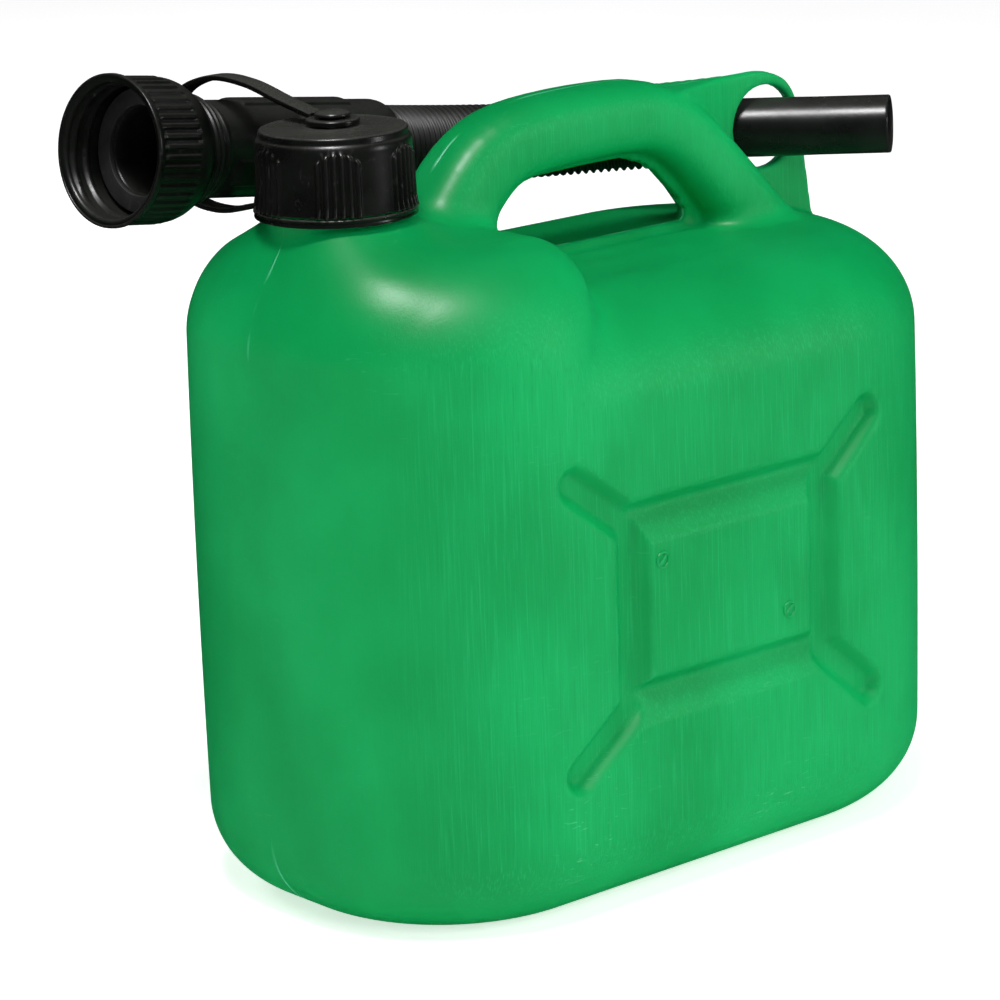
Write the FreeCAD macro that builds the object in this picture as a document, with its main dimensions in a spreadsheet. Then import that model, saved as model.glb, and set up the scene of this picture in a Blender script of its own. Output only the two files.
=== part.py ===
"""Five-litre (about one gallon) blow-moulded fuel can with a stowed flexible spout.

Frame: millimetres, +Z up, origin at the centre of the flat base.
-X is the filler-neck end, +X the tab end, -Y the near broad side.
"""
import FreeCAD
import Part
import math
import os
import Sketcher

V = FreeCAD.Vector
OUT = "parts"

# Sizes in millimetres (angles in degrees), kept in the document's sheet.
SIZES = {
    # hollow body
    "wall_t": 1.8,
    "front_x": 129.0,
    "rear_x": 129.0,
    "half_y": 75.0,
    "front_corner": 66.0,
    "rear_corner": 74.5,
    "base_fillet": 27.0,
    "deck_z": 193.0,
    "deck_fillet": 36.0,
    "shoulder_z": 215.0,
    "shoulder_end_x": 36.0,
    "shoulder_corner": 42.0,
    "shoulder_fillet": 38.0,
    # pressed frame in both broad sides
    "channel_w": 14.8,
    "channel_depth": 4.0,
    "frame_half_x": 49.0,
    "frame_low": 59.2,
    "frame_high": 131.6,
    "arm_reach_x": 66.0,
    "arm_low": 48.0,
    "arm_high": 142.5,
    # handle and tab
    "grip_r": 12.9,
    "grip_z": 233.2,
    "grip_front_x": 25.0,
    "grip_rear_x": 38.0,
    "leg_front_x": 55.0,
    "leg_front_z": 204.0,
    "leg_rear_x": 82.0,
    "leg_rear_z": 188.0,
    "tab_t": 4.0,
    "tab_root_t": 18.0,
    "tab_top_z": 240.3,
    "tab_hole_x": 89.8,
    "tab_hole_z": 221.4,
    "tab_hole_r": 14.4,
    # filler neck
    "neck_x": 91.8,
    "neck_r": 20.6,
    "neck_bore_r": 17.6,
    "neck_foot_r": 36.0,
    "neck_top_z": 241.0,
    "thread_pitch": 5.0,
    "thread_bead": 1.1,
    # filler cap
    "cap_r": 24.6,
    "cap_inner_r": 22.9,
    "cap_low_z": 222.8,
    "cap_high_z": 246.8,
    "cap_top_t": 2.6,
    "cap_edge": 3.4,
    "cap_rib_r": 1.0,
    "cap_thread_bead": 1.0,
    "stud_r": 3.2,
    "stud_head_r": 5.6,
    "seal_t": 1.6,
    # tether
    "ring_low_z": 219.6,
    "ring_t": 2.6,
    "ring_r": 25.4,
    "ring_bore_r": 22.4,
    "eyelet_r": 8.4,
    "eyelet_bore_r": 3.6,
    "eyelet_t": 2.0,
    "strap_w": 6.4,
    "strap_t": 1.9,
    # spout, sizes along its own axis from the nut's mouth
    "nut_r": 22.9,
    "nut_lip_r": 23.7,
    "nut_skirt": 19.4,
    "nut_len": 32.7,
    "nut_bore_r": 20.9,
    "nut_depth": 18.0,
    "nut_neck_r": 15.9,
    "nut_neck_lip_r": 17.6,
    "tube_r": 15.4,
    "tube_bore_r": 13.0,
    "tube_end": 116.0,
    "flange_r": 19.6,
    "flange_at": 14.6,
    "flange_t": 3.2,
    "hose_r0": 13.4,
    "hose_r1": 11.8,
    "hose_t": 1.5,
    "hose_pitch": 2.6,
    "nozzle_r": 9.8,
    "nozzle_tip_r": 9.6,
    "nozzle_tip_len": 28.0,
    "nozzle_bore_r": 7.9,
    "nozzle_len": 63.4,
    "nozzle_collar_r": 11.6,
    "nozzle_collar": 7.0,
}

# Places and directions in space.
SPOUT_AT = V(-138.6, 51.6, 239.8)
SPOUT_HEADING = 5.4
SPOUT_DIP = 7.8
NOZZLE_THROUGH = V(89.8, 0.0, 221.2)
NOZZLE_HEADING = -52.0
NOZZLE_RISE = 1.6
NOZZLE_BACK = 20.4
HOSE_PULL_START = 88.0
HOSE_PULL_END = 10.0
STRAP_PATH = [
    (-92.2, 9.6, 249.4),
    (-92.8, 22.0, 252.4),
    (-93.6, 38.0, 256.2),
    (-94.6, 54.0, 256.6),
    (-95.6, 69.0, 250.8),
    (-96.2, 76.6, 239.0),
    (-96.2, 75.4, 226.0),
    (-95.6, 66.5, 217.2),
    (-94.4, 52.0, 215.0),
    (-93.2, 38.0, 217.8),
    (-92.4, 26.4, 220.9),
]


def ref(name):
    """Sheet reference used in expressions."""
    return "Sizes." + name


def direction(heading, rise):
    """Unit vector from a heading about Z and a rise above level."""
    h = math.radians(heading)
    p = math.radians(rise)
    return V(math.cos(p) * math.cos(h), math.cos(p) * math.sin(h), math.sin(p))


def along(start, axis, roll=0.0):
    """Placement whose local Z runs along axis and whose local X stays level."""
    side = V(0, 0, 1).cross(axis)
    side.normalize()
    up = axis.cross(side)
    turn = FreeCAD.Rotation(side, up, axis, "ZXY")
    spin = FreeCAD.Rotation(V(0, 0, 1), roll)
    return FreeCAD.Placement(start, turn.multiply(spin))


def make_sheet(doc):
    """Spreadsheet holding every size."""
    sheet = doc.addObject("Spreadsheet::Sheet", "Sizes")
    for row, (name, value) in enumerate(SIZES.items(), start=1):
        sheet.set("A%d" % row, name)
        sheet.set("B%d" % row, str(value))
        sheet.setAlias("B%d" % row, name)
    doc.recompute()
    return sheet


def bind(obj, **links):
    """Set expressions on an object's properties."""
    for prop, expr in links.items():
        obj.setExpression(prop, expr)
    return obj


def place(obj, pos, axis=None, angle=0.0):
    """Give an object its placement."""
    turn = FreeCAD.Rotation(axis, angle) if axis else FreeCAD.Rotation()
    obj.Placement = FreeCAD.Placement(pos, turn)
    return obj


def cylinder(doc, name, radius, height, pos=V(0, 0, 0)):
    """Upright cylinder with bound radius and height."""
    obj = doc.addObject("Part::Cylinder", name)
    bind(obj, Radius=radius, Height=height)
    return place(obj, pos)


def cone(doc, name, low_r, high_r, height, pos=V(0, 0, 0)):
    """Upright cone with bound radii and height."""
    obj = doc.addObject("Part::Cone", name)
    bind(obj, Radius1=low_r, Radius2=high_r, Height=height)
    return place(obj, pos)


def fuse(doc, name, shapes):
    """Union of several objects."""
    obj = doc.addObject("Part::MultiFuse", name)
    obj.Shapes = shapes
    obj.Refine = True
    return obj


def cut(doc, name, base, tool):
    """One object less another."""
    obj = doc.addObject("Part::Cut", name)
    obj.Base = base
    obj.Tool = tool
    obj.Refine = True
    return obj


def thread(doc, name, pitch, turns, radius, bead, z_low, start_deg):
    """Round helical thread bead on a wall of the given radius."""
    helix = doc.addObject("Part::Helix", name + "_path")
    bind(helix, Pitch=pitch, Height="%s * %g" % (pitch, turns), Radius=radius)
    ring = doc.addObject("Part::Circle", name + "_bead")
    bind(ring, Radius=bead)
    doc.recompute()
    place(ring, V(helix.Radius.Value, 0, 0), V(1, 0, 0), 90)
    sweep = doc.addObject("Part::Sweep", name)
    sweep.Sections = [ring]
    sweep.Spine = (helix, ["Edge1"])
    sweep.Solid = True
    sweep.Frenet = True
    turn = FreeCAD.Rotation(V(0, 0, 1), start_deg)
    sweep.Placement = FreeCAD.Placement(V(0, 0, z_low), turn)
    return sweep


def rounded_plan(body, name, front, rear, half_y, front_r, rear_r):
    """Plan outline: a rectangle with one radius at the front and one at the rear."""
    sheet = body.Document.getObject("Sizes")

    def value(expr):
        total = 0.0
        sign = 1.0
        for word in expr.replace(ref(""), "").split():
            if word in "+-":
                sign = 1.0 if word == "+" else -1.0
            else:
                total += sign * float(getattr(sheet, word, 0) if word in SIZES else word)
        return total

    xf = -value(front)
    xr = value(rear)
    hy = value(half_y)
    rf = value(front_r)
    rr = value(rear_r)
    sketch = body.newObject("Sketcher::SketchObject", name)
    plane = [f for f in body.Origin.OriginFeatures if f.Role == "XY_Plane"][0]
    sketch.AttachmentSupport = (plane, [""])
    sketch.MapMode = "FlatFace"
    up = V(0, 0, 1)
    corner = [(xf + rf, -hy + rf, rf, 180), (xr - rr, -hy + rr, rr, 270)]
    corner += [(xr - rr, hy - rr, rr, 0), (xf + rf, hy - rf, rf, 90)]
    arcs = []
    for x, y, r, deg in corner:
        circle = Part.Circle(V(x, y, 0), up, r)
        low = math.radians(deg)
        arcs.append(Part.ArcOfCircle(circle, low, low + math.pi / 2))
    lines = []
    for i in range(4):
        lines.append(Part.LineSegment(arcs[i].EndPoint, arcs[(i + 1) % 4].StartPoint))
    for i in range(4):
        sketch.addGeometry(arcs[i], False)
        sketch.addGeometry(lines[i], False)
    for i in range(4):
        a = 2 * i
        sketch.addConstraint(Sketcher.Constraint("Tangent", a, 2, a + 1, 1))
        sketch.addConstraint(Sketcher.Constraint("Tangent", a + 1, 2, (a + 2) % 8, 1))
    sketch.addConstraint(Sketcher.Constraint("Horizontal", 1))
    sketch.addConstraint(Sketcher.Constraint("Vertical", 3))
    sketch.addConstraint(Sketcher.Constraint("Equal", 0, 6))
    sketch.addConstraint(Sketcher.Constraint("Equal", 2, 4))
    dims = [
        (Sketcher.Constraint("Radius", 0, rf), front_r),
        (Sketcher.Constraint("Radius", 2, rr), rear_r),
        (Sketcher.Constraint("DistanceY", 1, 1, -1, 1, hy), half_y),
        (Sketcher.Constraint("DistanceX", 7, 1, -1, 1, -xf), front),
        (Sketcher.Constraint("DistanceX", 3, 1, -1, 1, -xr), "-(" + rear + ")"),
        (Sketcher.Constraint("DistanceY", 1, 1, 5, 1, 2 * hy), "2 * (" + half_y + ")"),
    ]
    for constraint, expr in dims:
        index = sketch.addConstraint(constraint)
        sketch.setExpression("Constraints[%d]" % index, expr)
    return sketch


def loop_edges(shape, z):
    """Names of the edges lying wholly at one height."""
    names = []
    for i, edge in enumerate(shape.Edges, start=1):
        box = edge.BoundBox
        if abs(box.ZMin - z) < 0.01 and abs(box.ZMax - z) < 0.01:
            names.append("Edge%d" % i)
    return names


def block(doc, name, plan, low, high, low_fillet, high_fillet):
    """Upright block on a rounded plan with softened top and bottom edges."""
    body = doc.addObject("PartDesign::Body", name)
    sketch = rounded_plan(body, name + "_plan", *plan)
    pad = body.newObject("PartDesign::Pad", name + "_pad")
    pad.Profile = sketch
    pad.setExpression("Length", "(" + high + ") - (" + low + ")")
    body.Tip = pad
    doc.recompute()
    tall = pad.Length.Value
    last = pad
    for tag, z, size in (("top", tall, high_fillet), ("foot", 0.0, low_fillet)):
        if size is None:
            continue
        soft = body.newObject("PartDesign::Fillet", name + "_" + tag)
        soft.Base = (last, loop_edges(last.Shape, z))
        soft.setExpression("Radius", size)
        body.Tip = soft
        doc.recompute()
        last = soft
    body.setExpression("Placement.Base.z", low)
    return body


def frame_channel(doc, name, side, grow):
    """Pressed rectangle with four diagonal arms, let into one broad side."""
    g = " + 2 * " + ref("wall_t") if grow else ""
    half_g = " + " + ref("wall_t") if grow else ""
    deep = "(" + ref("channel_depth") + half_g + ") * 2"
    wide = "(" + ref("channel_w") + g + ")"
    high = "(" + ref("frame_high") + " - " + ref("frame_low") + g + ")"
    long = "(2 * " + ref("frame_half_x") + g + ")"
    y_mid = side * SIZES["half_y"]
    middle = (SIZES["frame_low"] + SIZES["frame_high"]) / 2
    outer = doc.addObject("Part::Box", name + "_outer")
    bind(outer, Length=long, Width=deep, Height=high)
    inner = doc.addObject("Part::Box", name + "_inner")
    bind(inner, Length=long + " - 2 * " + wide, Width=deep, Height=high + " - 2 * " + wide)
    doc.recompute()
    for box in (outer, inner):
        half = V(box.Length.Value / 2, box.Width.Value / 2, box.Height.Value / 2)
        place(box, V(0, y_mid, middle) - half)
    shapes = [cut(doc, name + "_frame", outer, inner)]
    for sx in (-1, 1):
        for top in (False, True):
            tag = "%s_arm_%s%s" % (name, "r" if sx > 0 else "f", "t" if top else "b")
            half_w = SIZES["channel_w"] / 2
            frame_z = SIZES["frame_high"] - half_w if top else SIZES["frame_low"] + half_w
            root = V(sx * (SIZES["frame_half_x"] - half_w), 0, frame_z)
            end_z = SIZES["arm_high"] if top else SIZES["arm_low"]
            end = V(sx * (SIZES["arm_reach_x"] - 2), 0, end_z)
            run = end - root
            bar = doc.addObject("Part::Box", tag)
            bind(bar, Length=str(run.Length), Width=deep, Height=wide)
            tip = cylinder(doc, tag + "_end", wide + " / 2", deep)
            heel = cylinder(doc, tag + "_heel", wide + " / 2", deep)
            doc.recompute()
            tilt = FreeCAD.Rotation(V(0, 1, 0), -math.degrees(math.atan2(run.z, run.x)))
            drop = V(0, bar.Width.Value / 2, bar.Height.Value / 2)
            bar.Placement = FreeCAD.Placement(V(root.x, y_mid, root.z) - tilt.multVec(drop), tilt)
            for disc, spot in ((tip, end), (heel, root)):
                at = V(spot.x, y_mid + disc.Height.Value / 2, spot.z)
                place(disc, at, V(1, 0, 0), 90)
            shapes += [bar, tip, heel]
    return fuse(doc, name, shapes)


def bar_between(doc, name, start, end, radius):
    """Round bar between two points."""
    run = end - start
    bar = cylinder(doc, name, radius, str(run.Length), start)
    bar.Placement = FreeCAD.Placement(start, FreeCAD.Rotation(V(0, 0, 1), run))
    return bar


def handle(doc, name, radius):
    """Arched round handle along the middle of the can."""
    s = SIZES
    points = [
        V(-s["leg_front_x"], 0, s["leg_front_z"]),
        V(-s["grip_front_x"], 0, s["grip_z"]),
        V(s["grip_rear_x"], 0, s["grip_z"]),
        V(s["leg_rear_x"], 0, s["leg_rear_z"]),
    ]
    shapes = []
    for i in range(3):
        shapes.append(bar_between(doc, "%s_bar%d" % (name, i), points[i], points[i + 1], radius))
    for i in (1, 2):
        ball = doc.addObject("Part::Sphere", "%s_bend%d" % (name, i))
        bind(ball, Radius=radius)
        place(ball, points[i])
        shapes.append(ball)
    return fuse(doc, name, shapes)


def tab(doc):
    """Flat pierced tab behind the handle, with a thick root."""
    s = SIZES
    body = doc.addObject("PartDesign::Body", "tab_plate")
    sketch = body.newObject("Sketcher::SketchObject", "tab_outline")
    plane = [f for f in body.Origin.OriginFeatures if f.Role == "XZ_Plane"][0]
    sketch.AttachmentSupport = (plane, [""])
    sketch.MapMode = "FlatFace"
    top = s["tab_top_z"]
    arc = Part.Arc(V(94, top, 0), V(102.6, top - 4.4, 0), V(106.3, top - 13.0, 0))
    sketch.addGeometry(arc, False)
    corners = [V(106.3, top - 13.0, 0), V(111.0, 186, 0), V(46, 186, 0), V(46, top, 0), V(94, top, 0)]
    for a, b in zip(corners[:-1], corners[1:]):
        sketch.addGeometry(Part.LineSegment(a, b), False)
    pad = body.newObject("PartDesign::Pad", "tab_pad")
    pad.Profile = sketch
    pad.Midplane = True
    pad.setExpression("Length", ref("tab_t"))
    body.Tip = pad
    doc.recompute()
    web = doc.addObject("Part::Wedge", "tab_web")
    web.Xmin, web.Xmax = -s["tab_root_t"] / 2, s["tab_root_t"] / 2
    web.X2min, web.X2max = -s["tab_t"] / 2, s["tab_t"] / 2
    web.Ymin, web.Ymax = 48, 73
    web.Zmin, web.Zmax = 186, top - 5
    web.Z2min, web.Z2max = 186, top - 1
    web.Placement = FreeCAD.Placement(V(0, 0, 0), FreeCAD.Rotation(V(0, 0, 1), -90))
    hole = cylinder(doc, "tab_hole", ref("tab_hole_r"), "60")
    place(hole, V(s["tab_hole_x"], 30, s["tab_hole_z"]), V(1, 0, 0), 90)
    solid = fuse(doc, "tab_solid", [body, web])
    return cut(doc, "tab", solid, hole)


def make_shoulder(doc, name, plan, inset):
    """Higher block under the filler neck, ended by a rounded step."""
    less = " - " + inset
    full = block(doc, name + "_full", plan, "110 + " + inset, ref("shoulder_z") + less, None,
                 ref("shoulder_fillet") + less)
    end_plan = ["180", "0 - " + ref("shoulder_end_x") + less, ref("half_y") + " + 3" + less]
    end_plan += [ref("shoulder_corner") + less, ref("shoulder_corner") + less]
    end = block(doc, name + "_end", end_plan, "105", ref("shoulder_z") + " + 3" + less, None,
                ref("shoulder_fillet") + less)
    obj = doc.addObject("Part::Common", name)
    obj.Base = full
    obj.Tool = end
    return obj


def make_can(doc):
    """Hollow body, handle, tab and threaded neck in one moulding."""
    w = ref("wall_t")
    s = SIZES
    low_plan = [ref(n) for n in ("front_x", "rear_x", "half_y", "front_corner", "rear_corner")]
    low = block(doc, "tank", low_plan, "0", ref("deck_z"), ref("base_fillet"), ref("deck_fillet"))
    shoulder = make_shoulder(doc, "shoulder", low_plan, "0")
    grip = handle(doc, "grip", ref("grip_r"))
    low_in_plan = [e + " - " + w for e in low_plan]
    low_in = block(doc, "tank_space", low_in_plan, w, ref("deck_z") + " - " + w,
                   ref("base_fillet") + " - " + w, ref("deck_fillet") + " - " + w)
    shoulder_in = make_shoulder(doc, "shoulder_space", low_in_plan, w)
    grip_in = handle(doc, "grip_space", ref("grip_r") + " - " + w)
    neck_foot = s["shoulder_z"] - 12
    neck_at = V(-s["neck_x"], 0, neck_foot)
    neck = cylinder(doc, "neck", ref("neck_r"), "%s - %g" % (ref("neck_top_z"), neck_foot), neck_at)
    bore = cylinder(doc, "neck_bore", ref("neck_bore_r"), "60", neck_at)
    beads = thread(doc, "neck_thread", ref("thread_pitch"), 2.0, ref("neck_r"),
                   ref("thread_bead"), 228.0, 0.0)
    beads.Placement.Base = V(-s["neck_x"], 0, 226.5)
    foot = cone(doc, "neck_foot", ref("neck_foot_r"), ref("ring_r"), "6.2",
                V(-s["neck_x"], 0, s["ring_low_z"] - 6.5))
    skin = fuse(doc, "can_skin", [low, shoulder, grip, tab(doc), neck, foot, beads])
    for side, tag in ((-1, "near"), (1, "far")):
        skin = cut(doc, "can_skin_" + tag, skin, frame_channel(doc, "channel_" + tag, side, False))
    space = fuse(doc, "can_space", [low_in, shoulder_in, grip_in])
    for side, tag in ((-1, "near"), (1, "far")):
        space = cut(doc, "can_space_" + tag, space, frame_channel(doc, "press_" + tag, side, True))
    space = fuse(doc, "can_void", [space, bore])
    can = cut(doc, "can_body", skin, space)
    can.Label = "can_body"
    return can


def make_cap(doc):
    """Ribbed filler cap with an inside thread and a mushroom stud on top."""
    s = SIZES
    height = ref("cap_high_z") + " - " + ref("cap_low_z")
    body = doc.addObject("PartDesign::Body", "cap_blank")
    drum = body.newObject("PartDesign::AdditiveCylinder", "cap_drum")
    bind(drum, Radius=ref("cap_r"), Height=height)
    body.Tip = drum
    doc.recompute()
    edge = body.newObject("PartDesign::Fillet", "cap_round")
    edge.Base = (drum, loop_edges(drum.Shape, drum.Height.Value))
    edge.setExpression("Radius", ref("cap_edge"))
    body.Tip = edge
    tall = s["cap_high_z"] - s["cap_low_z"]
    shapes = [body]
    for group in range(6):
        for k in range(6):
            deg = group * 60 - 6.5 + (k - 2.5) * 5.8
            a = math.radians(deg)
            at = V(s["cap_r"] * math.cos(a), s["cap_r"] * math.sin(a), 0)
            rib = cylinder(doc, "cap_rib_%d_%d" % (group, k), ref("cap_rib_r"), "%g" % (tall - 5.5), at)
            top = doc.addObject("Part::Sphere", "cap_rib_top_%d_%d" % (group, k))
            bind(top, Radius=ref("cap_rib_r"))
            place(top, at + V(0, 0, tall - 5.5))
            shapes += [rib, top]
    stem = cylinder(doc, "stud_stem", ref("stud_r"), "3.4", V(0, 0, tall - 0.5))
    head = cone(doc, "stud_head", ref("stud_head_r"), ref("stud_r"), "1.9", V(0, 0, tall + 2.9))
    outer = fuse(doc, "cap_outer", shapes + [stem, head])
    space = cylinder(doc, "cap_space", ref("cap_inner_r"), "%g" % (tall - s["cap_top_t"]))
    shell = cut(doc, "cap_shell", outer, space)
    beads = thread(doc, "cap_thread", ref("thread_pitch"), 1.6, ref("cap_inner_r"),
                   ref("cap_thread_bead"), 2.2, 0.0)
    beads.Placement.Base = V(0, 0, 226.5 + 2.5 - s["cap_low_z"])
    cap = fuse(doc, "cap", [shell, beads])
    place(cap, V(-s["neck_x"], 0, s["cap_low_z"]))
    cap.Label = "cap"
    return cap


def make_cap_seal(doc):
    """Flat sealing ring between the cap and the top of the neck."""
    s = SIZES
    disc = cylinder(doc, "cap_seal_disc", ref("cap_inner_r") + " - 0.3", ref("seal_t"))
    hole = cylinder(doc, "cap_seal_hole", ref("neck_bore_r") + " - 1.2", ref("seal_t"))
    seal = cut(doc, "cap_seal", disc, hole)
    place(seal, V(-s["neck_x"], 0, s["cap_high_z"] - s["cap_top_t"] - s["seal_t"]))
    seal.Label = "cap_seal"
    return seal


def make_tether_ring(doc):
    """Loose ring of the tether round the foot of the neck."""
    s = SIZES
    band = cylinder(doc, "ring_band", ref("ring_r"), ref("ring_t"))
    hole = cylinder(doc, "ring_hole", ref("ring_bore_r"), ref("ring_t"))
    ring = cut(doc, "tether_ring", band, hole)
    place(ring, V(-s["neck_x"], 0, s["ring_low_z"]))
    ring.Label = "tether_ring"
    return ring


def make_tether_eyelet(doc):
    """Eyelet of the tether, free to turn under the head of the cap's stud."""
    s = SIZES
    disc = cylinder(doc, "eyelet_disc", ref("eyelet_r"), ref("eyelet_t"))
    hole = cylinder(doc, "eyelet_hole", ref("eyelet_bore_r"), ref("eyelet_t"))
    eyelet = cut(doc, "tether_eyelet", disc, hole)
    place(eyelet, V(-s["neck_x"], 0, s["cap_high_z"] + 0.4))
    eyelet.Label = "tether_eyelet"
    return eyelet


def make_tether_strap(doc):
    """Flat strap of the tether, looped round the stowed spout."""
    s = SIZES
    curve = Part.BSplineCurve()
    curve.interpolate([V(*p) for p in STRAP_PATH])
    path = Part.Wire(curve.toShape())
    start = V(*STRAP_PATH[0])
    run = curve.tangent(curve.FirstParameter)[0]
    across = V(1, 0, 0)
    across = across - run * across.dot(run)
    across.normalize()
    over = run.cross(across)
    w = across * (s["strap_w"] / 2)
    t = over * (s["strap_t"] / 2)
    corners = [start + w + t, start - w + t, start - w - t, start + w - t, start + w + t]
    sweep = Part.BRepOffsetAPI.MakePipeShell(path)
    sweep.setBiNormalMode(V(1, 0, 0))
    sweep.add(Part.makePolygon(corners))
    sweep.build()
    sweep.makeSolid()
    strap = doc.addObject("Part::Feature", "tether_strap")
    strap.Shape = sweep.shape()
    strap.Label = "tether_strap"
    return strap


def spout_placement(offset=0.0):
    """Placement along the stowed spout's straight end."""
    axis = direction(SPOUT_HEADING, -SPOUT_DIP)
    return along(SPOUT_AT + axis * offset, axis)


def make_spout_nut(doc):
    """Coupling nut, open mouth first, with an inside thread."""
    s = SIZES
    skirt = cylinder(doc, "nut_skirt_wall", ref("nut_r"), ref("nut_skirt"))
    lip = cylinder(doc, "nut_lip", ref("nut_lip_r"), "2.2")
    taper = cone(doc, "nut_taper", ref("nut_r"), ref("nut_neck_lip_r"), "9.5",
                 V(0, 0, s["nut_skirt"]))
    tail = cylinder(doc, "nut_tail", ref("nut_neck_lip_r"), "%g" % (s["nut_len"] - s["nut_skirt"]),
                    V(0, 0, s["nut_skirt"]))
    shapes = [skirt, lip, taper, tail]
    for k in range(36):
        a = math.radians(k * 10)
        at = V(s["nut_r"] * math.cos(a), s["nut_r"] * math.sin(a), 4.0)
        shapes.append(cylinder(doc, "nut_rib_%d" % k, "0.7", "%g" % (s["nut_skirt"] - 5.0), at))
    outer = fuse(doc, "nut_outer", shapes)
    socket = cylinder(doc, "nut_socket", ref("nut_bore_r"), ref("nut_depth"))
    passage = cylinder(doc, "nut_passage", ref("nut_neck_r"), "40")
    space = fuse(doc, "nut_space", [socket, passage])
    shell = cut(doc, "nut_shell", outer, space)
    beads = thread(doc, "nut_thread", ref("thread_pitch"), 1.4, ref("nut_bore_r"),
                   ref("cap_thread_bead"), 3.0, 30.0)
    nut = fuse(doc, "spout_nut", [shell, beads])
    nut.Placement = spout_placement()
    nut.Label = "spout_nut"
    return nut


def make_spout_seal(doc):
    """Sealing ring in front of the spout's flange, inside the nut."""
    s = SIZES
    disc = cylinder(doc, "spout_seal_disc", ref("flange_r") + " - 0.2", "1.8")
    hole = cylinder(doc, "spout_seal_hole", ref("tube_bore_r") + " + 1", "1.8")
    seal = cut(doc, "spout_seal", disc, hole)
    seal.Placement = spout_placement(s["flange_at"] - 1.8)
    seal.Label = "spout_seal"
    return seal


def make_spout_tube(doc):
    """Straight stiff end of the spout with its flange and raised pads."""
    s = SIZES
    length = ref("tube_end") + " - " + ref("flange_at")
    body = doc.addObject("PartDesign::Body", "tube_blank")
    drum = body.newObject("PartDesign::AdditiveCylinder", "tube_drum")
    bind(drum, Radius=ref("tube_r"), Height=length)
    body.Tip = drum
    doc.recompute()
    edge = body.newObject("PartDesign::Fillet", "tube_round")
    edge.Base = (drum, loop_edges(drum.Shape, drum.Height.Value))
    edge.Radius = 2.2
    body.Tip = edge
    flange = cylinder(doc, "tube_flange", ref("flange_r"), ref("flange_t"))
    pad_wall = cylinder(doc, "pad_wall", ref("tube_r") + " + 0.8", "48",
                        V(0, 0, 50 - s["flange_at"]))
    pad_strip = doc.addObject("Part::Box", "pad_strip")
    bind(pad_strip, Length="40", Width="13", Height="48")
    place(pad_strip, V(0, -6.5, 50 - s["flange_at"]))
    pad = doc.addObject("Part::Common", "pad_top")
    pad.Base = pad_wall
    pad.Tool = pad_strip
    pad_turn = FreeCAD.Rotation(V(0, 0, 1), 90)
    pad.Placement = FreeCAD.Placement(V(0, 0, 0), pad_turn)
    outer = fuse(doc, "tube_outer", [body, flange, pad])
    bore = cylinder(doc, "tube_bore", ref("tube_bore_r"), "150", V(0, 0, -1))
    tube = cut(doc, "spout_tube", outer, bore)
    tube.Placement = spout_placement(s["flange_at"])
    tube.Label = "spout_tube"
    return tube


def hose_path():
    """Middle line of the hose, from the tube's end to the nozzle's start."""
    d0 = direction(SPOUT_HEADING, -SPOUT_DIP)
    d1 = direction(NOZZLE_HEADING, NOZZLE_RISE)
    start = SPOUT_AT + d0 * SIZES["tube_end"]
    end = NOZZLE_THROUGH - d1 * NOZZLE_BACK
    curve = Part.BezierCurve()
    curve.setPoles([start, start + d0 * HOSE_PULL_START, end - d1 * HOSE_PULL_END, end])
    return curve


def ring_wire(curve, at, radius):
    """Circle square to a curve."""
    spot = curve.value(at)
    return Part.Wire(Part.Circle(spot, curve.tangent(at)[0], radius).toShape())


def make_spout_hose(doc):
    """Corrugated flexible hose, bent as it is stowed."""
    s = SIZES
    curve = hose_path()
    count = int(curve.length() / s["hose_pitch"])
    outer = []
    inner = []
    stops = curve.discretize(Number=2 * count + 1)
    for i, spot in enumerate(stops):
        at = curve.parameter(spot)
        share = i / (2.0 * count)
        radius = s["hose_r0"] + (s["hose_r1"] - s["hose_r0"]) * share
        dip = 1.1 if i % 2 else 0.0
        outer.append(ring_wire(curve, at, radius - dip))
        inner.append(ring_wire(curve, at, radius - 1.1 - s["hose_t"]))
    skin = Part.makeLoft(outer, True, True)
    space = Part.makeLoft(inner[::4] + ([] if len(inner) % 4 == 1 else [inner[-1]]), True, True)
    hose = doc.addObject("Part::Feature", "spout_hose")
    hose.Shape = skin.cut(space)
    hose.Label = "spout_hose"
    return hose


def make_spout_nozzle(doc):
    """Plain round nozzle with a collar that holds the hose."""
    s = SIZES
    pipe = cylinder(doc, "nozzle_pipe", ref("nozzle_r"),
                    ref("nozzle_len") + " - " + ref("nozzle_tip_len"))
    tip = cylinder(doc, "nozzle_tip_pipe", ref("nozzle_tip_r"), ref("nozzle_len"))
    collar = cone(doc, "nozzle_collar_wall", ref("nozzle_collar_r"), ref("nozzle_r"),
                  ref("nozzle_collar"))
    outer = fuse(doc, "nozzle_outer", [pipe, tip, collar])
    bore = cylinder(doc, "nozzle_bore", ref("nozzle_bore_r"), "80", V(0, 0, -1))
    nozzle = cut(doc, "spout_nozzle", outer, bore)
    axis = direction(NOZZLE_HEADING, NOZZLE_RISE)
    nozzle.Placement = along(NOZZLE_THROUGH - axis * NOZZLE_BACK, axis)
    nozzle.Label = "spout_nozzle"
    return nozzle


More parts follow.
